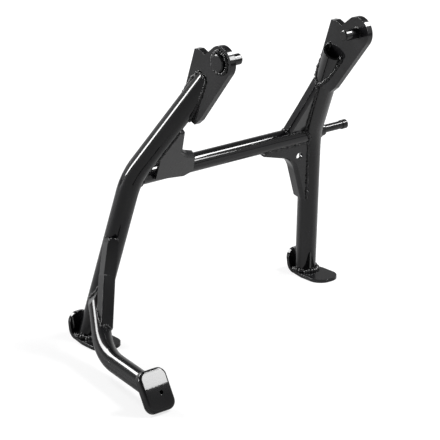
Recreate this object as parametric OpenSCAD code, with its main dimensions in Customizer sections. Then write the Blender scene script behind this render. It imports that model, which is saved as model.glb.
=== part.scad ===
// Motorcycle centre stand, welded from tube, plate and folded sheet.
// Millimetres. +Z up, +Y towards the front of the motorcycle, +X to its right.
// The origin is on the ground under the left foot plate. The pieces are drawn about the
// middle of the stand and moved there at the end.

/* [Legs] */

// Outside diameter of the two leg tubes
leg_od = 25; // [23:0.5:27]

// Wall of the leg tubes
leg_wall = 2.8; // [2:0.2:3.6]

// Sideways distance from the centre to a leg axis on the ground
foot_half = 164.6; // [158:0.2:172]

// Sideways distance from the centre to a leg axis at the bend
bend_half = 132.4; // [129:0.1:136]

// Height of the leg bend above the ground
bend_z = 192.9; // [188:0.1:198]

// How far behind the foot the leg bend lies
bend_back = 41.1; // [37:0.1:45]

// Sideways distance from the centre to a leg axis at the top end
top_half = 91.4; // [90.6:0.1:91.8]

// How far behind the foot the top end lies
top_back = 125.3; // [123:0.1:127]

// Height of the leg's top end on its axis
top_z = 318.6; // [316:0.1:322]

// How much lower the right leg's top end is cut than the left's
right_trim = 6.5; // [2:0.5:9]

// Centreline radius of the leg bend
leg_bend_r = 100; // [80:1:120]

/* [Cross tube] */

// Outside diameter of the cross tube
cross_od = 21.3; // [20:0.1:22]

// Wall of the cross tube
cross_wall = 2.4; // [2:0.1:3.2]

/* [Pivot plates] */

// Clear distance between the two pivot plates
plate_gap = 188.4; // [187.8:0.1:189.4]

// Thickness of a pivot plate
plate_t = 7.4; // [6.6:0.1:8]

// How far behind the foot the pivot axis lies
pivot_back = 155; // [153:0.1:157]

// Height of the pivot axis
pivot_z = 340.6; // [339:0.1:342]

// Radius of the plate's rounded end round the pivot
lobe_r = 18; // [17:0.1:19]

// Corner radius at the plate's lower front
plate_corner_r = 6; // [4:0.5:8]

/* [Pivot pins] */

// Diameter of the bearing length of a pivot pin
pin_d = 12; // [10:0.5:13]

// Length of the pin inside the plate
pin_reach = 20; // [16:0.5:24]

// Diameter of the pin's length inside the plate
pin_seat_d = 14; // [13:0.5:16]

// Diameter of the pin's head on the outside
pin_head_d = 19; // [17:0.5:20]

// Height of the pin's head above the plate
pin_head_h = 4.5; // [3:0.5:6]

// Chamfer on the pin's tip
pin_chamfer = 1.2; // [0.6:0.1:2]

// Outside diameter of the weld ring round a pin head
pin_weld_d = 28.4; // [25:0.2:30]

/* [Gussets] */

// Sheet thickness of the folded gussets
sheet_t = 3; // [2.4:0.2:3.4]

// Outside radius of the folds
fold_r = 5; // [4:0.2:6]

// How far behind the leg axis the upper right gusset's outer face lies
upper_web_off = 3; // [2:0.1:5]

// How far behind the leg axis the lower right gusset's outer face lies
lower_web_off = 8; // [7:0.1:8.6]

// Depth of the fold on the upper right gusset
right_upper_depth = 11; // [9:0.5:14]

// Depth of the fold on the lower right gusset
right_lower_depth = 16; // [13:0.5:17]

// Depth of the fold on the left gusset
left_depth = 8; // [6.5:0.5:12]

// Diameter of the hole in the lower right gusset
gusset_hole_d = 9; // [7:0.5:10]

/* [Spring peg] */

// Diameter of the spring peg
peg_d = 9.5; // [8:0.1:10]

// Diameter of the collar at the end of the peg
peg_collar_d = 11; // [10.2:0.1:13]

// Length of that collar
peg_collar_l = 7; // [5:0.5:9]

// Sideways distance from the centre to the end of the peg
peg_end = 187.5; // [180:0.5:195]

// Diameter of the boss the peg is set in
peg_boss_d = 15; // [14:0.5:17]

// Length of that boss beyond the leg's surface
peg_boss_l = 6; // [4:0.5:8]

/* [Foot lever] */

// Outside diameter of the lever tube
lever_od = 22; // [20:0.5:23]

// Wall of the lever tube
lever_wall = 2.6; // [2:0.1:3.2]

// Centreline radius of the lever's bend
lever_bend_r = 96; // [80:1:110]

// Width of the pedal plate
pedal_w = 36; // [33:0.5:39]

// Length of the pedal plate
pedal_l = 46; // [42:0.5:50]

// Depth of the pedal's turned rim
pedal_rim = 8; // [6:0.5:10]

// Corner radius of the pedal
pedal_corner_r = 10; // [8:0.5:12]

// Sheet thickness of the pedal
pedal_t = 3; // [2.4:0.2:3.4]

// Diameter of the hole in the pedal
pedal_hole_d = 4.5; // [3.5:0.5:6]

// Width of the lever's channel strut
strut_w = 14; // [13:0.5:16]

// Depth of the channel strut
strut_d = 14; // [12:0.5:15]

/* [Foot plates] */

// Width of a foot plate
foot_w = 37; // [35:0.5:41]

// Thickness of a foot plate
foot_t = 4; // [3:0.5:5]

// How far the foot plate reaches behind the leg axis
foot_rear = 46; // [42:1:50]

// Length of the flat of the foot plate ahead of the leg axis
foot_front = 5; // [4:0.5:7]

// Inside radius of the upturned toe
toe_r = 7.5; // [6:0.5:9]

// Angle the toe turns up through
toe_angle = 80; // [70:1:86]

// Straight length at the end of the toe
toe_end = 18; // [12:1:22]

// Width of the toe at its tip
toe_w = 30; // [28:0.5:33]

// Corner radius of the toe, seen from the front
toe_corner_r = 12; // [8:1:13]

// Corner radius at the rear of a foot plate
foot_corner_r = 16; // [12:0.5:17]

// Width of the weld round the foot of a leg
foot_weld = 4; // [3:0.5:5]

/* [Hidden] */

$fn = 72;
coat = [0.06, 0.06, 0.065];
far = 400;

// How far behind the leg axis the middle of a foot's flat lies
foot_face_back = 10;

// Key points of the right leg; the left leg is its mirror image
leg_foot = [foot_half, 0, 0];
leg_bend = [bend_half, -bend_back, bend_z];
leg_top = [top_half, -top_back, top_z];
cross_half = bend_half - 4;

// How far an arc and a straight are let past tangency, so that they cross where they meet
bend_swell = 0.06;

// How deep the left gusset's web is coped over the cross tube
web_seat = 0.4;

plate_in = plate_gap / 2;
plate_out = plate_in + plate_t;
boss_end = bend_half + leg_od / 2 + peg_boss_l;

// Lean of the two straight runs of a leg, seen from the side
lower_lean = atan(bend_back / bend_z);
upper_lean = atan((top_back - bend_back) / (top_z - bend_z));

// Key points of the lever tube on the left
lever_start = [-161.5, -13.1, 60.1];
lever_corner = [-206.9, -85.8, 17.7];
lever_end = [-228.6, -214, 19.1];
lever_cut = [-167.5, -17.3, 59.3];
lever_cut_dir = [-0.6, 0.5, 0.6];
lever_plug = 20;

// Pedal: centre of its front face and its backward lean
pedal_centre = [-229, -207.3, 23.9];
pedal_lean = 30.2;

// Channel strut: centre line of its outer face, and how far it is turned outwards
strut_top = [-156.2, -40.5, 128];
strut_crease = [-165.5, -43.5, 88];
strut_low = [-189.9, -69.2, 36.8];
strut_end_dir = [0, 0.35, 0.94];
strut_yaw = -18;

// Under the left foot, on the ground; the pieces are drawn from the middle of the stand
module at_left_foot() {
    translate([foot_half, foot_face_back, 0])
        children();
}

function unit(v) = v / norm(v);

// Frame at the start of a bend of radius r at the corner b from a towards c:
// the bend turns about z from the x axis, and the run towards a goes along -y
module on_bend(a, b, c, r) {
    da = unit(a - b);
    dc = unit(c - b);
    centre = b + unit(da + dc) * r / sin(corner_angle(a, b, c) / 2);
    axis = unit(cross(dc, da));
    theta = acos(axis.z);
    phi = atan2(axis.y, axis.x);
    e1 = [cos(phi) * cos(theta), sin(phi) * cos(theta), -sin(theta)];
    e2 = [-sin(phi), cos(phi), 0];
    u = unit(b + da * setback(a, b, c, r) - centre);
    translate(centre)
        rotate([0, theta, phi])
            rotate([0, 0, atan2(u * e2, u * e1)])
                children();
}

// Angle between the two runs, and the length of each run that the bend takes up
function corner_angle(a, b, c) = acos(unit(a - b) * unit(c - b));
function setback(a, b, c, r) = r / tan(corner_angle(a, b, c) / 2);

// Bent part of a rod, a hair fuller than the straight runs that enter it
module bend(a, b, c, r, d) {
    on_bend(a, b, c, r)
        rotate_extrude(angle = 180 - corner_angle(a, b, c))
            translate([r, 0])
                circle(d = d + 2 * bend_swell);
}

// Rod of diameter d from a to c that turns at the corner b with centreline radius r
module bent_rod(a, b, c, r, d) {
    lap = sqrt(r * bend_swell);
    turn = 180 - corner_angle(a, b, c);
    bend(a, b, c, r, d);
    on_bend(a, b, c, r) {
        translate([r, lap, 0])
            rotate([90, 0, 0])
                cylinder(d = d, h = norm(a - b) - setback(a, b, c, r) + lap);
        rotate([0, 0, turn])
            translate([r, -lap, 0])
                rotate([-90, 0, 0])
                    cylinder(d = d, h = norm(c - b) - setback(a, b, c, r) + lap);
    }
}

// The right leg as a solid bar, run on below the ground and, by extra, past the top
module leg_bar(d = leg_od, extra = 0) {
    low = leg_foot + unit(leg_foot - leg_bend) * (leg_od + extra);
    high = leg_top + unit(leg_top - leg_bend) * extra;
    bent_rod(low, leg_bend, high, leg_bend_r, d);
}

module left_leg_bar() {
    mirror([1, 0, 0]) leg_bar();
}

// Side profile of a pivot plate measured from the pivot, x forwards and y up
module plate_profile() {
    rear_low = [34, -70.5];
    low_cut = [41.5, -76.5];
    low_front = [67.5, -67.2];
    horn_front = [41, 7.5];
    horn_rear = [34, 8.3];
    notch = [23.8, 4.1];
    rear_dir = atan2(0.622, 0.783);
    inside_r = lobe_r - bend_swell;
    lobe_rear = -inside_r * [cos(rear_dir), sin(rear_dir)];
    notch_dir = atan2(notch.y, notch.x) + acos(lobe_r / norm(notch));
    lobe_front = inside_r * [cos(notch_dir), sin(notch_dir)];
    circle(r = lobe_r);
    polygon([[0, 0], lobe_rear, rear_low, low_cut,
             low_front + unit(low_cut - low_front) * plate_corner_r,
             low_front + unit(horn_front - low_front) * plate_corner_r,
             horn_front, horn_rear, notch, lobe_front]);
}

module plate_solid() {
    translate([plate_in, -pivot_back, pivot_z])
        rotate([90, 0, 90])
            linear_extrude(height = plate_t)
                plate_profile();
}

// Leg tube: bent, cut square at the top and level at the foot, slotted for the plate
module leg_tube(trim = 0) {
    difference() {
        leg_bar();
        leg_bar(leg_od - 2 * leg_wall, 1);
        translate([0, -far, foot_t - far])
            cube([far, 2 * far, far]);
        if (trim > 0)
            half_space(leg_top + unit(leg_bend - leg_top) * trim, leg_top - leg_bend);
        plate_solid();
        foot_plate();
    }
}

module left_leg_tube() {
    at_left_foot() color(coat) mirror([1, 0, 0]) leg_tube();
}

module right_leg_tube() {
    at_left_foot() color(coat) leg_tube(right_trim);
}

// Solid bar along the cross tube between the planes x = a and x = b
module cross_bar(a, b, d) {
    translate([a, -bend_back, bend_z])
        rotate([0, 90, 0])
            cylinder(d = d, h = b - a);
}

module cross_tube() {
    at_left_foot() color(coat)
        difference() {
            cross_bar(-cross_half, cross_half, cross_od);
            cross_bar(-far, far, cross_od - 2 * cross_wall);
            bend(leg_foot, leg_bend, leg_top, leg_bend_r, leg_od);
            mirror([1, 0, 0]) bend(leg_foot, leg_bend, leg_top, leg_bend_r, leg_od);
        }
}

// Round bar on the pivot axis between two distances from the centre
module pivot_bar(a, b, d) {
    translate([a, -pivot_back, pivot_z])
        rotate([0, 90, 0])
            cylinder(d = d, h = b - a);
}

module pivot_plate() {
    difference() {
        plate_solid();
        pivot_bar(0, far, pin_seat_d);
    }
}

module left_pivot_plate() {
    at_left_foot() color(coat) mirror([1, 0, 0]) pivot_plate();
}

module right_pivot_plate() {
    at_left_foot() color(coat) pivot_plate();
}

// Pin: chamfered tip and bearing length inside, thicker seat in the plate, low head outside
module pivot_pin() {
    tip = plate_in - pin_reach;
    translate([tip, -pivot_back, pivot_z])
        rotate([0, 90, 0])
            cylinder(d1 = pin_d - 2 * pin_chamfer, d2 = pin_d, h = pin_chamfer);
    pivot_bar(tip + pin_chamfer, plate_in, pin_d);
    pivot_bar(plate_in, plate_out, pin_seat_d);
    pivot_bar(plate_out, plate_out + pin_head_h - 1, pin_head_d);
    translate([plate_out + pin_head_h - 1, -pivot_back, pivot_z])
        rotate([0, 90, 0])
            cylinder(d1 = pin_head_d, d2 = pin_head_d - 2, h = 1);
}

module left_pivot_pin() {
    at_left_foot() color(coat) mirror([1, 0, 0]) pivot_pin();
}

module right_pivot_pin() {
    at_left_foot() color(coat) pivot_pin();
}

// Half-round weld ring on the plate round the pin's head
module pin_weld() {
    width = (pin_weld_d - pin_head_d) / 2;
    translate([plate_out, -pivot_back, pivot_z])
        rotate([0, 90, 0])
            rotate_extrude()
                intersection() {
                    translate([(pin_head_d + width) / 2, 0])
                        circle(d = width);
                    square([pin_weld_d, width]);
                }
}

module left_pin_weld() {
    at_left_foot() color(coat) mirror([1, 0, 0]) pin_weld();
}

module right_pin_weld() {
    at_left_foot() color(coat) pin_weld();
}

// Frame on a straight run of the legs: x sideways, y up the run, z out to the rear
module on_run(lean) {
    translate([0, -bend_back, bend_z])
        rotate([90 + lean, 0, 0])
            children();
}

// Sheet outline behind a free edge that runs p0, v, p2 and turns at v with radius r.
// The edge is moved into the sheet by inset; back closes the outline.
module sheet_outline(p0, v, p2, r, inset, back) {
    a = unit(p0 - v);
    b = unit(p2 - v);
    half = acos(a * b) / 2;
    centre = v + unit(a + b) * r / sin(half);
    n0 = unit(v + a * r / tan(half) - centre);
    n2 = unit(v + b * r / tan(half) - centre);
    difference() {
        polygon(concat([p0 + n0 * inset, centre + n0 * (r + inset), centre,
                        centre + n2 * (r + inset), p2 + n2 * inset], back));
        translate(centre)
            circle(r = r + inset + bend_swell);
    }
}

// What a rounded fold leaves off a square corner: profile with the corner at the origin
module fold_waste() {
    difference() {
        translate([-1, -fold_r])
            square(fold_r + 1);
        translate([fold_r - bend_swell, bend_swell - fold_r])
            circle(r = fold_r);
    }
}

// Waste along a straight free edge from p to q, sheet on the left of the travel
module straight_waste(p, q) {
    translate(p)
        rotate([0, 0, atan2(q.x - p.x, p.y - q.y)])
            rotate([90, 0, 0])
                linear_extrude(height = norm(q - p))
                    fold_waste();
}

// Folded gusset: outer face of the web at z = 0, fold turned down by depth
module folded_gusset(p0, v, p2, r, depth, back, back_far) {
    a = unit(p0 - v);
    b = unit(p2 - v);
    half = acos(a * b) / 2;
    centre = v + unit(a + b) * r / sin(half);
    t0 = v + a * r / tan(half);
    t2 = v + b * r / tan(half);
    turn = 180 - 2 * half;
    start = t2 - centre;
    lap = acos(r / (r + bend_swell)) + 1;
    difference() {
        translate([0, 0, -depth])
            linear_extrude(height = depth)
                sheet_outline(p0, v, p2, r, 0, back);
        translate([0, 0, -depth - 1])
            linear_extrude(height = depth + 1 - sheet_t)
                sheet_outline(p0 + a * 40, v, p2 + b * 40, r, sheet_t, back_far);
        straight_waste(p0 + a * 2, t0);
        straight_waste(t2, p2 + b * 2);
        translate(centre)
            rotate([0, 0, atan2(start.y, start.x) - lap])
                rotate_extrude(angle = turn + 2 * lap)
                    translate([r + bend_swell, 0])
                        fold_waste();
    }
}

module both_legs_and_cross() {
    leg_bar();
    left_leg_bar();
    cross_bar(-bend_half, bend_half, cross_od);
}

// Gusset above the cross tube on the right, set between the tube and the leg.
// The outlines of the gussets are measured from the leg's bend.
module right_upper_gusset() {
    top = [-38.4, 92.5];
    middle = [-39.5, 50];
    low = [-41.8, 2];
    at_left_foot() color(coat)
        difference() {
            on_run(upper_lean)
                translate([bend_half, 0, upper_web_off])
                    folded_gusset(top, middle, low, 120, right_upper_depth,
                                  [[-4.4, 2], [-25.4, 92.5]], [[37.6, -40], [37.6, 150]]);
            both_legs_and_cross();
        }
}

// Gusset below the cross tube on the right, with its curved free edge and hole
module right_lower_gusset() {
    tip = [-72.9, -14.8];
    corner = [-27.9, -27.4];
    foot = [-2.2, -86];
    hole = [-19.5, -23];
    at_left_foot() color(coat)
        difference() {
            on_run(lower_lean)
                translate([bend_half, 0, lower_web_off])
                    difference() {
                        folded_gusset(tip, corner, foot, 38, right_lower_depth,
                                      [[13.6, -86], [0.3, 0], [-71.9, 0]],
                                      [[67.6, -120], [67.6, 60], [-112.4, 60]]);
                        translate([hole.x, hole.y, -sheet_t - 1])
                            cylinder(d = gusset_hole_d, h = sheet_t + 2);
                    }
            both_legs_and_cross();
        }
}

// Gusset on the left, lapped over the back of the cross tube
module left_gusset() {
    inner_end = [67.9, 31.2];
    corner = [47.9, 38.5];
    top = [35.7, 75.2];
    at_left_foot() color(coat)
        difference() {
            on_run(upper_lean)
                translate([-bend_half, 0, cross_od / 2 + sheet_t - web_seat])
                    folded_gusset(inner_end, corner, top, 20, left_depth,
                                  [[26.2, 77.2], [17.5, 46.2], [15.7, 39.2],
                                   [24.1, 3.5], [66.5, -2.8], [77.2, 2.8]],
                                  [[-27.6, 140], [-27.6, -60], [112.4, -60]]);
            both_legs_and_cross();
        }
}

// Peg standing on the end of its boss, with a collar that keeps the spring on
module spring_peg() {
    at_left_foot() color(coat) {
        cross_bar(boss_end, peg_end, peg_d);
        cross_bar(peg_end - peg_collar_l, peg_end, peg_collar_d);
    }
}

// Boss in line with the cross tube, coped over the outside of the right leg
module spring_peg_boss() {
    at_left_foot() color(coat)
        difference() {
            cross_bar(bend_half, boss_end, peg_boss_d);
            leg_bar();
        }
}

// Frame on the pedal's front face: y up the face, z outwards
module on_pedal() {
    translate(pedal_centre)
        rotate([90 - pedal_lean, 0, 0])
            children();
}

module rounded_rect(w, l, r) {
    square([w - 2 * r, l], center = true);
    square([w, l - 2 * r], center = true);
    for (x = [-1, 1], y = [-1, 1])
        translate([x * (w / 2 - r), y * (l / 2 - r)])
            circle(r = r);
}

// Space in front of the inside face of the pedal plate
module ahead_of_pedal() {
    on_pedal()
        translate([-far / 2, -far / 2, -pedal_t])
            cube([far, far, far]);
}

// Lever tube: bevelled at the leg, bent once, ending against the pedal's inside face
module lever_tube() {
    at_left_foot() color(coat)
        difference() {
            bent_rod(lever_start, lever_corner, lever_end, lever_bend_r, lever_od);
            bent_rod(lever_start + unit(lever_corner - lever_start) * lever_plug, lever_corner,
                     lever_end, lever_bend_r, lever_od - 2 * lever_wall);
            left_leg_bar();
            half_space(lever_cut, lever_cut_dir);
            ahead_of_pedal();
        }
}

// Pedal: a pressed cap with a rounded rim, open towards the lever
module lever_pedal() {
    edge_r = 3;
    at_left_foot() color(coat)
        on_pedal()
            difference() {
                union() {
                    translate([0, 0, -pedal_rim])
                        linear_extrude(height = pedal_rim - edge_r)
                            rounded_rect(pedal_w, pedal_l, pedal_corner_r);
                    translate([0, 0, -edge_r])
                        linear_extrude(height = edge_r)
                            rounded_rect(pedal_w - 2 * edge_r, pedal_l - 2 * edge_r,
                                         pedal_corner_r - edge_r);
                    for (x = [-1, 1])
                        translate([x * (pedal_w / 2 - edge_r), pedal_l / 2 - pedal_corner_r, -edge_r])
                            rotate([90, 0, 0])
                                cylinder(r = edge_r, h = pedal_l - 2 * pedal_corner_r);
                    for (y = [-1, 1])
                        translate([pedal_corner_r - pedal_w / 2, y * (pedal_l / 2 - edge_r), -edge_r])
                            rotate([0, 90, 0])
                                cylinder(r = edge_r, h = pedal_w - 2 * pedal_corner_r);
                    for (x = [-1, 1], y = [-1, 1])
                        translate([x * (pedal_w / 2 - pedal_corner_r),
                                   y * (pedal_l / 2 - pedal_corner_r), -edge_r])
                            rotate_extrude()
                                translate([pedal_corner_r - edge_r, 0])
                                    circle(r = edge_r);
                }
                translate([0, 0, -pedal_rim - 1])
                    linear_extrude(height = pedal_rim + 1 - pedal_t)
                        rounded_rect(pedal_w - 2 * pedal_t, pedal_l - 2 * pedal_t,
                                     pedal_corner_r - pedal_t);
                translate([3.4, -3.5, -pedal_t - 1])
                    cylinder(d = pedal_hole_d, h = pedal_t + 2);
            }
}

// Straight run of the channel from b up to a, web to the rear, run on past both ends
module channel_run(a, b, extra) {
    u = unit(a - b);
    translate(b)
        rotate([-asin(u.y), atan2(u.x, u.z), 0])
            rotate([0, 0, strut_yaw])
                translate([0, 0, -extra])
                    linear_extrude(height = norm(a - b) + 2 * extra)
                        difference() {
                            translate([-strut_w / 2, 0])
                                square([strut_w, strut_d]);
                            translate([sheet_t - strut_w / 2, sheet_t])
                                square([strut_w - 2 * sheet_t, strut_d]);
                        }
}

// Frame on the channel's upper run: x across the web, y into the channel, z up the run
module on_upper_run() {
    u = unit(strut_top - strut_crease);
    translate(strut_top)
        rotate([-asin(u.y), atan2(u.x, u.z), 0])
            rotate([0, 0, strut_yaw])
                children();
}

// Room for the channel's upper run under a half-round end
module strut_arch() {
    on_upper_run()
        rotate([90, 0, 0])
            translate([0, 0, -far / 2])
                linear_extrude(height = far) {
                    translate([0, -strut_w / 2])
                        circle(d = strut_w);
                    translate([-strut_w / 2, -strut_w / 2 - far])
                        square([strut_w, far]);
                }
}

// Everything on the side of the plane through p that n points to
module half_space(p, n) {
    translate(p)
        rotate([0, acos(n.z / norm(n)), atan2(n.y, n.x)])
            translate([-far / 2, -far / 2, 0])
                cube([far, far, far]);
}

// Channel strut from the back of the left leg down to the lever, creased once
module lever_channel() {
    fold_dir = unit(unit(strut_top - strut_crease) + unit(strut_crease - strut_low));
    at_left_foot() color(coat)
        difference() {
            union() {
                intersection() {
                    channel_run(strut_top, strut_crease, 12);
                    half_space(strut_crease, fold_dir);
                    strut_arch();
                }
                intersection() {
                    channel_run(strut_crease, strut_low, 12);
                    half_space(strut_crease, -fold_dir);
                    half_space(strut_low, strut_end_dir);
                }
            }
            left_leg_bar();
            bent_rod(lever_start, lever_corner, lever_end, lever_bend_r, lever_od);
        }
}

// Side profile of a foot plate: flat, upturned arc, straight end; x forwards, y up
module foot_profile() {
    steps = 18;
    outer_r = toe_r + foot_t;
    end = toe_end * [cos(toe_angle), sin(toe_angle)];
    polygon(concat(
        [[-foot_rear, foot_t], [-foot_rear, 0]],
        [for (k = [0:steps]) toe_point(outer_r, k / steps)],
        [toe_point(outer_r, 1) + end, toe_point(toe_r, 1) + end],
        [for (k = [0:steps]) toe_point(toe_r, 1 - k / steps)]));
}

// Point at radius r on the toe's arc, a share of the way round it
function toe_point(r, share) =
    [foot_front + r * sin(share * toe_angle), toe_r + foot_t - r * cos(share * toe_angle)];

// What rounding a corner of radius r leaves off, corner towards +x and +y
module corner_waste(r) {
    difference() {
        square(r + 1);
        circle(r = r);
    }
}

// Foot plate: flat under the leg, upturned in front, rounded corners
module foot_plate() {
    tip = toe_point(toe_r + foot_t, 1) + toe_end * [cos(toe_angle), sin(toe_angle)];
    side = foot_w / 2 - foot_corner_r;
    difference() {
        translate([foot_half - foot_w / 2, 0, 0])
            rotate([90, 0, 90])
                linear_extrude(height = foot_w)
                    foot_profile();
        for (turn = [0, 1])
            translate([foot_half, 0, 0])
                mirror([turn, 0, 0]) {
                    translate([side, foot_corner_r - foot_rear, -1])
                        mirror([0, 1, 0])
                            linear_extrude(height = foot_t + 2)
                                corner_waste(foot_corner_r);
                    translate([0, 0, -1])
                        linear_extrude(height = far / 4)
                            polygon([[foot_w / 2, -leg_od / 2], [foot_w, -leg_od / 2],
                                     [foot_w, tip.x + 1], [toe_w / 2, tip.x + 1],
                                     [toe_w / 2, foot_front]]);
                    translate([toe_w / 2 - toe_corner_r, 0, tip.y - toe_corner_r])
                        rotate([90, 0, 0])
                            translate([0, 0, -far / 4])
                                linear_extrude(height = far / 4)
                                    corner_waste(toe_corner_r);
                }
    }
}

module left_foot_plate() {
    at_left_foot() color(coat) mirror([1, 0, 0]) foot_plate();
}

module right_foot_plate() {
    at_left_foot() color(coat) foot_plate();
}

// Fillet weld round the foot of a leg
module foot_weld_ring() {
    base_r = leg_od / 2 / cos(lower_lean + 4) + foot_weld;
    difference() {
        translate([foot_half, -foot_t * tan(lower_lean), foot_t])
            cylinder(r1 = base_r, r2 = base_r - foot_weld + 0.5, h = foot_weld);
        leg_bar();
        translate([0, foot_front, 0])
            cube([far, far, far]);
    }
}

module left_foot_weld() {
    at_left_foot() color(coat) mirror([1, 0, 0]) foot_weld_ring();
}

module right_foot_weld() {
    at_left_foot() color(coat) foot_weld_ring();
}

left_leg_tube();
right_leg_tube();
cross_tube();
left_pivot_plate();
right_pivot_plate();
left_pivot_pin();
right_pivot_pin();
left_pin_weld();
right_pin_weld();
left_gusset();
right_upper_gusset();
right_lower_gusset();
spring_peg();
spring_peg_boss();
lever_tube();
lever_pedal();
lever_channel();
left_foot_plate();
right_foot_plate();
left_foot_weld();
right_foot_weld();
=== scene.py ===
import math

import bmesh
import bpy
from bpy.props import FloatProperty, FloatVectorProperty, IntProperty, PointerProperty
from bpy.types import Operator, Panel, PropertyGroup
from mathutils import Matrix, Vector
from mathutils.bvhtree import BVHTree


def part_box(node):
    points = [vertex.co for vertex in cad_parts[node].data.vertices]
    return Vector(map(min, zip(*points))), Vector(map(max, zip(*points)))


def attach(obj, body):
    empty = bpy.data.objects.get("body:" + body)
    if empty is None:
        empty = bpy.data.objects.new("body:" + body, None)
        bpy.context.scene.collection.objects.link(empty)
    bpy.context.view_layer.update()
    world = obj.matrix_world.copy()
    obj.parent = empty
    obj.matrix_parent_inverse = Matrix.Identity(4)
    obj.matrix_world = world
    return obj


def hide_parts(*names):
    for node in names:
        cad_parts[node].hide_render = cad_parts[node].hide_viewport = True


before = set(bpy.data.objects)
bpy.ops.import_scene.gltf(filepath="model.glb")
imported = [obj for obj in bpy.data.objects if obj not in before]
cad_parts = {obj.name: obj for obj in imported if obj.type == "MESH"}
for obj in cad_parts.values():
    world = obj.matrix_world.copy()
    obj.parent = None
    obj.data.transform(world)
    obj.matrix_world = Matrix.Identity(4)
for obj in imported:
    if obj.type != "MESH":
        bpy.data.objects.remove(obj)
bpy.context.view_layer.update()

bl_info = {
    "name": "Centre Stand",
    "version": (1, 0, 0),
    "blender": (4, 5, 0),
    "location": "3D View > Sidebar > Centre Stand",
    "description": "Coats and welds a motorcycle centre stand and lights it on a studio floor",
    "category": "Object",
}

BODY = "root"

# Nodes of the frame, grouped by how their coat looks
TUBES = ("left_leg_tube", "right_leg_tube", "cross_tube", "lever_tube")
PLATES = ("left_pivot_plate", "right_pivot_plate", "left_foot_plate", "right_foot_plate",
          "left_gusset", "right_upper_gusset", "right_lower_gusset")
CHANNEL = ("lever_channel",)
TURNED = ("left_pivot_pin", "right_pivot_pin", "spring_peg", "spring_peg_boss")
PEDAL = ("lever_pedal",)
CAD_WELDS = ("left_pin_weld", "right_pin_weld", "left_foot_weld", "right_foot_weld")

# How far the middle of the stand lies in front of the middle of the cross tube's box
MIDDLE_FROM_CROSS_TUBE = 0.0411


def stand_middle():
    """Point of the ground midway between the legs, in line with the middle of the cross tube."""
    low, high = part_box("cross_tube")
    return Vector(((low.x + high.x) / 2, (low.y + high.y) / 2 + MIDDLE_FROM_CROSS_TUBE, 0.0))


# Middle of the stand, middle of the pedal's front face, and the way up that face
MIDDLE = stand_middle()
PEDAL_MIDDLE = MIDDLE + Vector((-0.229, -0.2073, 0.0239))
PEDAL_UP = (0.0, 0.503, 0.864)

# Size of the coat's clouds, and the noise levels between which they turn hazy and rough
CLOUD_SIZE = 0.05
CLOUD_HAZE_SPAN = (0.35, 0.7)
CLOUD_ROUGH_SPAN = (0.3, 0.7)
ROUGHNESS = (0.24, 0.38)

# Size of the specks of dust, the noise levels between which one shows, and its haze
SPECK_SIZE = 0.0016
SPECK_SPAN = (0.74, 0.80)
SPECK_HAZE = 0.35

# Refraction and shine of the colour coat, and refraction of the clear gloss over it
COLOUR_COAT_IOR = 1.5
COLOUR_COAT_SHINE = 0.08
CLEAR_COAT_IOR = 1.52
BEVEL_SAMPLES = 4

# A seam is an edge of one piece that lies within this reach of another piece's faces and turns
# by at least this angle; corners of the loose triangles this close are the same point
SEAM_REACH = 0.0003
SEAM_TURN = math.radians(13)
SAME_POINT = 0.00001

# Edges in a ring of weld, distance at which the ends of path edges join, and sides of a ripple
RING_STEPS = 72
PATH_JOIN = 0.00005
RIPPLE_SEGMENTS = 10
RIPPLE_RINGS = 7

# Half the length of a ripple as a share of the pitch
RIPPLE_LENGTH = 0.82

# Height of a foot bead's path over the foot weld's lower face, and how far inside the weld's
# rim it runs, as a share of the bead's half width
FOOT_BEAD_RISE = 0.0012
FOOT_BEAD_INSET = 0.9

# How far the floor lies below the feet, so that their faces don't meet
FLOOR_DROP = 0.0002

# Distances from the middle of the stand between which the floor brightens to full white
FLOOR_SPAN = (0.4, 1.8)

# Heights of a reflected ray's direction between which the room darkens, and its light there
ROOM_SPAN = (0.05, 0.45)
ROOM_LIGHT = (0.5, 0.10)
WHITE = (1.0, 1.0, 1.0, 1.0)

# Lamps: name, place from the middle of the stand, width, height and brightness
LAMPS = (
    ("Pedal lamp", (0.66, -1.02, 0.88), 0.36, 0.42, 14.5),
    ("Upper lamp", (0.90, -0.55, 1.25), 0.48, 0.48, 26.0),
    ("Left lamp", (-2.60, 1.95, 0.80), 0.66, 1.30, 24.0),
    ("Far lamp", (-0.37, 1.48, 1.37), 1.10, 0.60, 13.0),
)

# What the lamps are turned to and where the camera stands, both from the middle of the stand
LAMP_TARGET = (-0.01, -0.08, 0.17)
CAMERA_PLACE = (-1.4888, -1.8088, 0.9232)
CAMERA_WAY = (0.6067, 0.7230, -0.3304)
SENSOR_WIDTH = 36.0
VIEW_DEPTH = 100.0


class CoatLook(PropertyGroup):
    """The gloss black coat."""
    colour: FloatVectorProperty(
        name="Colour", description="Colour of the coat", subtype="COLOR",
        default=(0.0035, 0.0035, 0.004), min=0.0, max=1.0)
    pale: FloatVectorProperty(
        name="Haze", description="Colour of the faint haze in the coat", subtype="COLOR",
        default=(0.008, 0.008, 0.009), min=0.0, max=1.0)
    peel_size: FloatProperty(
        name="Peel size", description="Distance from one ripple of the coat to the next",
        default=0.004, min=0.001, max=0.02, unit="LENGTH")
    peel_depth: FloatProperty(
        name="Peel depth", description="Height of the coat's ripples",
        default=0.00002, min=0.0, max=0.001, precision=6, unit="LENGTH")
    edge_round: FloatProperty(
        name="Edge rounding", description="Radius that the coat gives a cut edge",
        default=0.0007, min=0.0, max=0.003, precision=5, unit="LENGTH")
    crown: FloatProperty(
        name="Pedal crown", description="Curvature of the pedal's face, one over its radius in metres",
        default=6.0, min=0.0, max=20.0)


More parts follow.
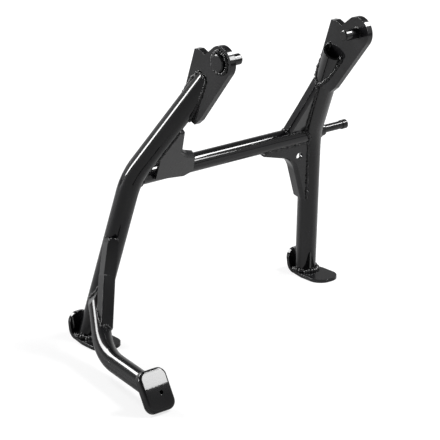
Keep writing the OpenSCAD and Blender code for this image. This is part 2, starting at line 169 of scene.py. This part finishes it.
class WeldSizes(PropertyGroup):
    """The hand-laid weld beads."""
    pitch: FloatProperty(
        name="Pitch", description="Distance from one ripple of a bead to the next",
        default=0.0024, min=0.0008, max=0.006, unit="LENGTH")
    sheet_bead: FloatProperty(
        name="Sheet bead", description="Half the width of a bead along a sheet edge",
        default=0.0019, min=0.0005, max=0.005, unit="LENGTH")
    tube_bead: FloatProperty(
        name="Tube bead", description="Half the width of a bead round a tube",
        default=0.0021, min=0.0005, max=0.005, unit="LENGTH")
    foot_bead: FloatProperty(
        name="Foot bead", description="Half the width of the bead round the foot of a leg",
        default=0.0030, min=0.0005, max=0.006, unit="LENGTH")
    unevenness: FloatProperty(
        name="Unevenness", description="How much the ripples differ in size",
        default=0.22, min=0.0, max=0.5, subtype="FACTOR")
    wander: FloatProperty(
        name="Wander", description="How far a ripple strays, as a share of the half width",
        default=0.22, min=0.0, max=0.6, subtype="FACTOR")
    seed: IntProperty(name="Seed", description="Seed of the ripples' sizes", default=5, min=0)


class StudioSetup(PropertyGroup):
    """Floor, lamps and camera."""
    floor_width: FloatProperty(
        name="Floor width", description="Side of the square floor",
        default=14.0, min=2.0, max=40.0, unit="LENGTH")
    floor_colour: FloatVectorProperty(
        name="Floor colour", description="Colour of the floor", subtype="COLOR",
        default=(0.33, 0.33, 0.332), min=0.0, max=1.0)
    ambient: FloatProperty(
        name="Ambient", description="Strength of the even light from all round",
        default=0.16, min=0.0, max=2.0)
    floor_glow: FloatProperty(
        name="Floor glow", description="Light of its own that the floor shows the camera",
        default=0.72, min=0.0, max=1.0)
    lens: FloatProperty(
        name="Lens", description="Focal length in millimetres on a 36 mm sensor",
        default=175.355, min=20.0, max=400.0)


# Node helpers

def fill(tree, socket, value):
    """Sets an input, or links it where the value is another node's output."""
    if isinstance(value, bpy.types.NodeSocket):
        tree.links.new(value, socket)
    else:
        socket.default_value = value


def add(tree, kind, **inputs):
    """A node with its named inputs set or linked."""
    node = tree.nodes.new(kind)
    for name, value in inputs.items():
        fill(tree, node.inputs[name.replace("_", " ")], value)
    return node


def maths(tree, operation, *values):
    """Output of a Math node of that operation."""
    node = tree.nodes.new("ShaderNodeMath")
    node.operation = operation
    for socket, value in zip(node.inputs, values):
        fill(tree, socket, value)
    return node.outputs[0]


def vector_maths(tree, operation, result, *values):
    """The named output of a Vector Math node of that operation."""
    node = tree.nodes.new("ShaderNodeVectorMath")
    node.operation = operation
    for socket, value in zip(node.inputs, values):
        fill(tree, socket, value)
    return node.outputs[result]


def scaled(tree, value, span, outcome):
    """Maps a value from the span to the outcome, both given as a low and a high number."""
    node = add(tree, "ShaderNodeMapRange", Value=value, From_Min=span[0], From_Max=span[1],
               To_Min=outcome[0], To_Max=outcome[1])
    return node.outputs[0]


def object_point(tree):
    """Object coordinates."""
    return tree.nodes.new("ShaderNodeTexCoord").outputs["Object"]


def noise(tree, size, detail):
    """Noise with features of about that size in metres."""
    node = add(tree, "ShaderNodeTexNoise", Vector=object_point(tree), Scale=1.0 / size,
               Detail=detail)
    return node.outputs["Fac"]


def random_value(tree, kind, socket_type, least, most, seed):
    """Output of a Random Value node, whose sockets of each type share their names."""
    node = tree.nodes.new("FunctionNodeRandomValue")
    node.data_type = kind
    for name, value in (("Min", least), ("Max", most)):
        socket = next(s for s in node.inputs if s.name == name and s.type == socket_type)
        fill(tree, socket, value)
    fill(tree, node.inputs["Seed"], seed)
    return next(s for s in node.outputs if s.type == socket_type)


# Coat

def pedal_crown(tree, curvature):
    """Height of a face that is crowned from the pedal's lower edge to its upper one."""
    offset = vector_maths(tree, "SUBTRACT", "Vector", object_point(tree), PEDAL_MIDDLE)
    rise = vector_maths(tree, "DOT_PRODUCT", "Value", offset, PEDAL_UP)
    square = maths(tree, "MULTIPLY", rise, rise)
    return maths(tree, "MULTIPLY", square, -curvature / 2)


def bumped(tree, height, depth, normal):
    """The normal, tilted by a height that is scaled by the depth."""
    bump = add(tree, "ShaderNodeBump", Height=height, Distance=depth, Normal=normal)
    return bump.outputs["Normal"]


def coat_material(name, look, peel, gloss, haze=1.0, crown=0.0, rounding=1.0):
    """Gloss black coat: faint haze, orange peel, specks of dust and rounded edges."""
    material = bpy.data.materials.new(name)
    material.use_nodes = True
    tree = material.node_tree
    tree.nodes.clear()
    cloud = noise(tree, CLOUD_SIZE, detail=3.0)
    speck = noise(tree, SPECK_SIZE, detail=0.0)
    dust = scaled(tree, speck, SPECK_SPAN, (0.0, SPECK_HAZE))
    hazy = maths(tree, "ADD", dust, scaled(tree, cloud, CLOUD_HAZE_SPAN, (0.0, haze)))
    hazy.node.use_clamp = True
    colour = tree.nodes.new("ShaderNodeMix")
    colour.data_type = "RGBA"
    fill(tree, colour.inputs["A"], (*look.colour, 1.0))
    fill(tree, colour.inputs["B"], (*look.pale, 1.0))
    fill(tree, colour.inputs["Factor"], hazy)
    edge = add(tree, "ShaderNodeBevel", Radius=look.edge_round * rounding)
    edge.samples = BEVEL_SAMPLES
    ripple = noise(tree, look.peel_size, detail=1.0)
    normal = bumped(tree, ripple, look.peel_depth * peel, edge.outputs["Normal"])
    if crown:
        normal = bumped(tree, pedal_crown(tree, crown), 1.0, normal)
    shader = add(tree, "ShaderNodeBsdfPrincipled", Base_Color=colour.outputs["Result"],
                 Roughness=scaled(tree, cloud, CLOUD_ROUGH_SPAN, ROUGHNESS),
                 IOR=COLOUR_COAT_IOR, Specular_IOR_Level=COLOUR_COAT_SHINE, Normal=normal,
                 Coat_Weight=1.0, Coat_Roughness=gloss, Coat_IOR=CLEAR_COAT_IOR,
                 Coat_Normal=normal)
    add(tree, "ShaderNodeOutputMaterial", Surface=shader.outputs["BSDF"])
    return material


def dress(node, material):
    """Gives a CAD node its material."""
    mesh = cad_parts[node].data
    if len(mesh.materials) == 0:
        mesh.materials.append(material)
    for index in range(len(mesh.materials)):
        mesh.materials[index] = material


# Weld beads

def carrier_tree(node):
    """Search tree of a CAD node's faces."""
    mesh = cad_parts[node].data
    return BVHTree.FromPolygons([v.co for v in mesh.vertices],
                                [tuple(p.vertices) for p in mesh.polygons])


def seam_edges(piece, carriers):
    """Sharp edges of a CAD node that lie on any of the carriers, as pairs of points."""
    shape = bmesh.new()
    shape.from_mesh(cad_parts[piece].data)
    bmesh.ops.remove_doubles(shape, verts=shape.verts, dist=SAME_POINT)
    found = []
    for carrier in carriers:
        tree = carrier_tree(carrier)
        near = {v: tree.find_nearest(v.co)[3] < SEAM_REACH for v in shape.verts}
        for edge in shape.edges:
            a, b = edge.verts
            if not (near[a] and near[b]):
                continue
            if len(edge.link_faces) == 2 and edge.calc_face_angle(math.pi) < SEAM_TURN:
                continue
            found.append((a.co.copy(), b.co.copy()))
    shape.free()
    return found


def ring_edges(middle, radius, normal):
    """Edges of a circle."""
    normal = Vector(normal).normalized()
    side = normal.orthogonal().normalized()
    other = normal.cross(side)
    turns = [2 * math.pi * k / RING_STEPS for k in range(RING_STEPS + 1)]
    points = [Vector(middle) + radius * (math.cos(t) * side + math.sin(t) * other)
              for t in turns]
    return list(zip(points, points[1:]))


def bead_tree():
    """Geometry Nodes tree that lays the ripples of a bead along the edges of a mesh."""
    tree = bpy.data.node_groups.new("Weld bead", "GeometryNodeTree")
    for name, kind in (("Geometry", "Geometry"), ("Pitch", "Float"), ("Half width", "Float"),
                       ("Unevenness", "Float"), ("Wander", "Float"), ("Seed", "Int"),
                       ("Material", "Material")):
        tree.interface.new_socket(name, in_out="INPUT", socket_type="NodeSocket" + kind)
    tree.interface.new_socket("Geometry", in_out="OUTPUT", socket_type="NodeSocketGeometry")
    given = tree.nodes.new("NodeGroupInput").outputs
    end = tree.nodes.new("NodeGroupOutput")

    path = add(tree, "GeometryNodeMeshToCurve", Mesh=given["Geometry"])
    even = tree.nodes.new("GeometryNodeResampleCurve")
    even.mode = "LENGTH"
    fill(tree, even.inputs["Curve"], path.outputs["Curve"])
    fill(tree, even.inputs["Length"], given["Pitch"])
    stray = random_value(tree, "FLOAT_VECTOR", "VECTOR", (-1.0, -1.0, -1.0), (1.0, 1.0, 1.0),
                         given["Seed"])
    wander = tree.nodes.new("ShaderNodeVectorMath")
    wander.operation = "SCALE"
    fill(tree, wander.inputs["Vector"], stray)
    fill(tree, wander.inputs["Scale"], given["Wander"])
    spots = add(tree, "GeometryNodeSetPosition", Geometry=even.outputs["Curve"],
                Offset=wander.outputs["Vector"])

    ball = add(tree, "GeometryNodeMeshUVSphere", Segments=RIPPLE_SEGMENTS, Rings=RIPPLE_RINGS,
               Radius=1.0)
    ripple = add(tree, "GeometryNodeSetShadeSmooth", Geometry=ball.outputs["Mesh"])
    along = tree.nodes.new("FunctionNodeAlignRotationToVector")
    along.axis = "X"
    tangent = tree.nodes.new("GeometryNodeInputTangent").outputs["Tangent"]
    fill(tree, along.inputs["Vector"], tangent)
    least = maths(tree, "SUBTRACT", 1.0, given["Unevenness"])
    most = maths(tree, "ADD", 1.0, given["Unevenness"])
    growth = random_value(tree, "FLOAT", "VALUE", least, most, given["Seed"])
    width = maths(tree, "MULTIPLY", given["Half width"], growth)
    length = maths(tree, "MULTIPLY", given["Pitch"], RIPPLE_LENGTH)
    size = add(tree, "ShaderNodeCombineXYZ", X=length, Y=width, Z=width)

    lay = add(tree, "GeometryNodeInstanceOnPoints", Points=spots.outputs["Geometry"],
              Instance=ripple.outputs["Geometry"], Rotation=along.outputs["Rotation"],
              Scale=size.outputs["Vector"])
    real = add(tree, "GeometryNodeRealizeInstances", Geometry=lay.outputs["Instances"])
    finish = add(tree, "GeometryNodeSetMaterial", Geometry=real.outputs["Geometry"],
                 Material=given["Material"])
    fill(tree, end.inputs["Geometry"], finish.outputs["Geometry"])
    return tree


def set_inputs(modifier, values):
    """Sets a modifier's inputs by the identifiers of their sockets."""
    for item in modifier.node_group.interface.items_tree:
        if item.item_type == "SOCKET" and item.in_out == "INPUT" and item.name in values:
            modifier[item.identifier] = values[item.name]


def lay_bead(name, edges, half_width, stands_for=()):
    """Lays a rippled bead along the edges and makes it a piece of the object."""
    if not edges:
        raise RuntimeError(f"{name}: no seam was found")
    sizes = bpy.context.scene.weld_sizes
    shape = bmesh.new()
    for a, b in edges:
        shape.edges.new((shape.verts.new(a), shape.verts.new(b)))
    bmesh.ops.remove_doubles(shape, verts=shape.verts, dist=PATH_JOIN)
    mesh = bpy.data.meshes.new(name + "_path")
    shape.to_mesh(mesh)
    shape.free()
    path = bpy.data.objects.new(name + "_path", mesh)
    bpy.context.scene.collection.objects.link(path)
    modifier = path.modifiers.new("Bead", "NODES")
    modifier.node_group = bpy.data.node_groups.get("Weld bead") or bead_tree()
    set_inputs(modifier, {"Pitch": sizes.pitch * half_width / sizes.tube_bead,
                          "Half width": half_width, "Unevenness": sizes.unevenness,
                          "Wander": sizes.wander * half_width,
                          "Seed": sizes.seed, "Material": bpy.data.materials["Weld coat"]})
    bpy.context.view_layer.update()
    evaluated = path.evaluated_get(bpy.context.evaluated_depsgraph_get())
    bead = bpy.data.objects.new(name, bpy.data.meshes.new_from_object(evaluated))
    bead.data.name = name
    bpy.data.objects.remove(path)
    bpy.data.meshes.remove(mesh)
    bpy.context.scene.collection.objects.link(bead)
    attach(bead, BODY)
    if stands_for:
        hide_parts(*stands_for)


def pin_ring(side):
    """Lays the ring of weld between a pin's head and the outer face of its plate."""
    weld = side + "_pin_weld"
    low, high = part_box(weld)
    half_width = high.x - low.x
    plate_face = high.x if side == "left" else low.x
    middle = Vector((plate_face, (low.y + high.y) / 2, (low.z + high.z) / 2))
    edges = ring_edges(middle, (high.y - low.y) / 2 - half_width, (1, 0, 0))
    lay_bead(f"weld_{side}_pin", edges, half_width, (weld,))


def foot_ring(side, half_width):
    """Lays the weld round a leg's foot, as far forward as the CAD weld goes."""
    weld = side + "_foot_weld"
    low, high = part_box(weld)
    radius = (high.x - low.x) / 2
    middle = Vector(((low.x + high.x) / 2, low.y + radius, low.z + FOOT_BEAD_RISE))
    edges = ring_edges(middle, radius - half_width * FOOT_BEAD_INSET, (0, 0, 1))
    edges = [(a, b) for a, b in edges if (a.y + b.y) / 2 < high.y]
    lay_bead(f"weld_{side}_foot", edges, half_width, (weld,))


# Operators

class CENTRESTAND_OT_coat(Operator):
    """Coat every CAD node in gloss black"""
    bl_idname = "centrestand.coat"
    bl_label = "Coat"

    def execute(self, context):
        look = context.scene.coat_look
        groups = (
            (TUBES, coat_material("Tube coat", look, peel=0.8, gloss=0.035)),
            (PLATES, coat_material("Plate coat", look, peel=1.5, gloss=0.055, haze=1.4)),
            (CHANNEL, coat_material("Channel coat", look, peel=1.2, gloss=0.05, rounding=2.5)),
            (TURNED, coat_material("Pin coat", look, peel=0.5, gloss=0.03)),
            (PEDAL, coat_material("Pedal coat", look, peel=0.6, gloss=0.05, crown=look.crown)),
            (CAD_WELDS, coat_material("Weld coat", look, peel=6.0, gloss=0.16)),
        )
        for nodes, material in groups:
            for node in nodes:
                dress(node, material)
        return {"FINISHED"}


class CENTRESTAND_OT_tube_welds(Operator):
    """Lay the beads round the ends of the tubes and the peg"""
    bl_idname = "centrestand.tube_welds"
    bl_label = "Tube welds"

    def execute(self, context):
        half_width = context.scene.weld_sizes.tube_bead
        plan = (
            ("weld_cross_tube", "cross_tube", ("left_leg_tube", "right_leg_tube")),
            ("weld_left_leg_top", "left_leg_tube", ("left_pivot_plate",)),
            ("weld_right_leg_top", "right_leg_tube", ("right_pivot_plate",)),
            ("weld_peg", "spring_peg_boss", ("right_leg_tube",)),
            ("weld_lever_top", "lever_tube", ("left_leg_tube",)),
            ("weld_lever_pedal", "lever_tube", ("lever_pedal",)),
        )
        for name, piece, carriers in plan:
            lay_bead(name, seam_edges(piece, carriers), half_width)
        return {"FINISHED"}


class CENTRESTAND_OT_sheet_welds(Operator):
    """Lay the beads along the gussets and the channel strut"""
    bl_idname = "centrestand.sheet_welds"
    bl_label = "Sheet welds"

    def execute(self, context):
        half_width = context.scene.weld_sizes.sheet_bead
        plan = (
            ("weld_left_gusset", "left_gusset", ("left_leg_tube", "cross_tube")),
            ("weld_right_upper_gusset", "right_upper_gusset", ("right_leg_tube", "cross_tube")),
            ("weld_right_lower_gusset", "right_lower_gusset", ("right_leg_tube", "cross_tube")),
            ("weld_channel", "lever_channel", ("left_leg_tube", "lever_tube")),
        )
        for name, piece, carriers in plan:
            lay_bead(name, seam_edges(piece, carriers), half_width)
        return {"FINISHED"}


class CENTRESTAND_OT_ring_welds(Operator):
    """Lay the rings of weld round the pin heads and the feet of the legs"""
    bl_idname = "centrestand.ring_welds"
    bl_label = "Ring welds"

    def execute(self, context):
        for side in ("left", "right"):
            pin_ring(side)
            foot_ring(side, context.scene.weld_sizes.foot_bead)
        return {"FINISHED"}


class CENTRESTAND_OT_studio(Operator):
    """Set up the floor, the lamps and the camera"""
    bl_idname = "centrestand.studio"
    bl_label = "Studio"

    def execute(self, context):
        setup = context.scene.studio_setup
        make_floor(setup)
        make_world(context.scene, setup)
        for name, place, width, height, brightness in LAMPS:
            make_lamp(name, MIDDLE + Vector(place), width, height, brightness)
        make_camera(context.scene, setup)
        return {"FINISHED"}


def make_floor(setup):
    """Floor that glows white for the camera and keeps the object's shadow."""
    half = setup.floor_width / 2
    mesh = bpy.data.meshes.new("floor")
    corners = ((-half, -half), (half, -half), (half, half), (-half, half))
    mesh.from_pydata([(x, y, -FLOOR_DROP) for x, y in corners], [], [(0, 1, 2, 3)])
    floor = bpy.data.objects.new("floor", mesh)
    bpy.context.scene.collection.objects.link(floor)
    material = bpy.data.materials.new("Floor")
    material.use_nodes = True
    tree = material.node_tree
    tree.nodes.clear()
    matt = add(tree, "ShaderNodeBsdfDiffuse", Color=(*setup.floor_colour, 1.0))
    rays = tree.nodes.new("ShaderNodeLightPath").outputs
    apart = vector_maths(tree, "DISTANCE", "Value", object_point(tree), MIDDLE)
    glow = scaled(tree, apart, FLOOR_SPAN, (setup.floor_glow, 1.0))
    shine = maths(tree, "MULTIPLY", rays["Is Camera Ray"], glow)
    glowing = add(tree, "ShaderNodeEmission", Strength=shine)
    both = tree.nodes.new("ShaderNodeAddShader")
    fill(tree, both.inputs[0], matt.outputs["BSDF"])
    fill(tree, both.inputs[1], glowing.outputs["Emission"])
    add(tree, "ShaderNodeOutputMaterial", Surface=both.outputs["Shader"])
    mesh.materials.append(material)


def make_world(scene, setup):
    """Even light; white for the camera, and a dim room that darkens upwards for reflections."""
    world = bpy.data.worlds.new("Studio")
    scene.world = world
    world.use_nodes = True
    tree = world.node_tree
    tree.nodes.clear()
    light = add(tree, "ShaderNodeBackground", Color=WHITE, Strength=setup.ambient)
    way = add(tree, "ShaderNodeSeparateXYZ",
              Vector=tree.nodes.new("ShaderNodeTexCoord").outputs["Generated"])
    rays = tree.nodes.new("ShaderNodeLightPath").outputs
    room = scaled(tree, way.outputs["Z"], ROOM_SPAN, ROOM_LIGHT)
    shade = maths(tree, "MAXIMUM", room, rays["Is Camera Ray"])
    seen = add(tree, "ShaderNodeBackground", Color=WHITE, Strength=shade)
    looking = maths(tree, "MAXIMUM", rays["Is Camera Ray"], rays["Is Glossy Ray"])
    looking = maths(tree, "MAXIMUM", looking, rays["Is Transmission Ray"])
    mix = tree.nodes.new("ShaderNodeMixShader")
    fill(tree, mix.inputs[0], looking)
    fill(tree, mix.inputs[1], light.outputs[0])
    fill(tree, mix.inputs[2], seen.outputs[0])
    add(tree, "ShaderNodeOutputWorld", Surface=mix.outputs[0])


def make_lamp(name, place, width, height, brightness):
    """Soft box of an even brightness, turned to the middle of the object."""
    lamp = bpy.data.lights.new(name, "AREA")
    lamp.shape = "RECTANGLE"
    lamp.size = width
    lamp.size_y = height
    lamp.energy = brightness * math.pi * width * height
    holder = bpy.data.objects.new(name, lamp)
    holder.location = place
    way = MIDDLE + Vector(LAMP_TARGET) - place
    holder.rotation_euler = way.to_track_quat("-Z", "Y").to_euler()
    holder.visible_camera = False
    bpy.context.scene.collection.objects.link(holder)


def make_camera(scene, setup):
    """Camera at the photograph's place and angle."""
    forward = Vector(CAMERA_WAY).normalized()
    side = forward.cross(Vector((0, 0, 1))).normalized()
    up = side.cross(forward)
    turn = Matrix((side, up, -forward)).transposed().to_4x4()
    camera = bpy.data.cameras.new("Camera")
    camera.lens = setup.lens
    camera.sensor_width = SENSOR_WIDTH
    camera.clip_end = VIEW_DEPTH
    holder = bpy.data.objects.new("Camera", camera)
    holder.matrix_world = Matrix.Translation(MIDDLE + Vector(CAMERA_PLACE)) @ turn
    scene.collection.objects.link(holder)
    scene.camera = holder
    scene.view_settings.view_transform = "Standard"


class CENTRESTAND_PT_panel(Panel):
    """Sizes and looks of the centre stand"""
    bl_label = "Centre Stand"
    bl_idname = "CENTRESTAND_PT_panel"
    bl_space_type = "VIEW_3D"
    bl_region_type = "UI"
    bl_category = "Centre Stand"

    def draw(self, context):
        scene = context.scene
        for group in (scene.coat_look, scene.weld_sizes, scene.studio_setup):
            column = self.layout.column(align=True)
            for name in group.__annotations__:
                column.prop(group, name)
        for operator in STEPS:
            self.layout.operator(operator.bl_idname)


GROUPS = (("coat_look", CoatLook), ("weld_sizes", WeldSizes), ("studio_setup", StudioSetup))
STEPS = (CENTRESTAND_OT_coat, CENTRESTAND_OT_tube_welds, CENTRESTAND_OT_sheet_welds,
         CENTRESTAND_OT_ring_welds, CENTRESTAND_OT_studio)
CLASSES = tuple(group for name, group in GROUPS) + STEPS + (CENTRESTAND_PT_panel,)


def register():
    """Registers the classes and the groups of properties."""
    for cls in CLASSES:
        bpy.utils.register_class(cls)
    for name, group in GROUPS:
        setattr(bpy.types.Scene, name, PointerProperty(type=group))


def unregister():
    """Takes away what register added."""
    for name, group in GROUPS:
        delattr(bpy.types.Scene, name)
    for cls in reversed(CLASSES):
        bpy.utils.unregister_class(cls)


def main():
    """Dresses the stand."""
    register()
    bpy.ops.centrestand.coat()
    bpy.ops.centrestand.tube_welds()
    bpy.ops.centrestand.sheet_welds()
    bpy.ops.centrestand.ring_welds()
    bpy.ops.centrestand.studio()


if __name__ == "__main__":
    main()
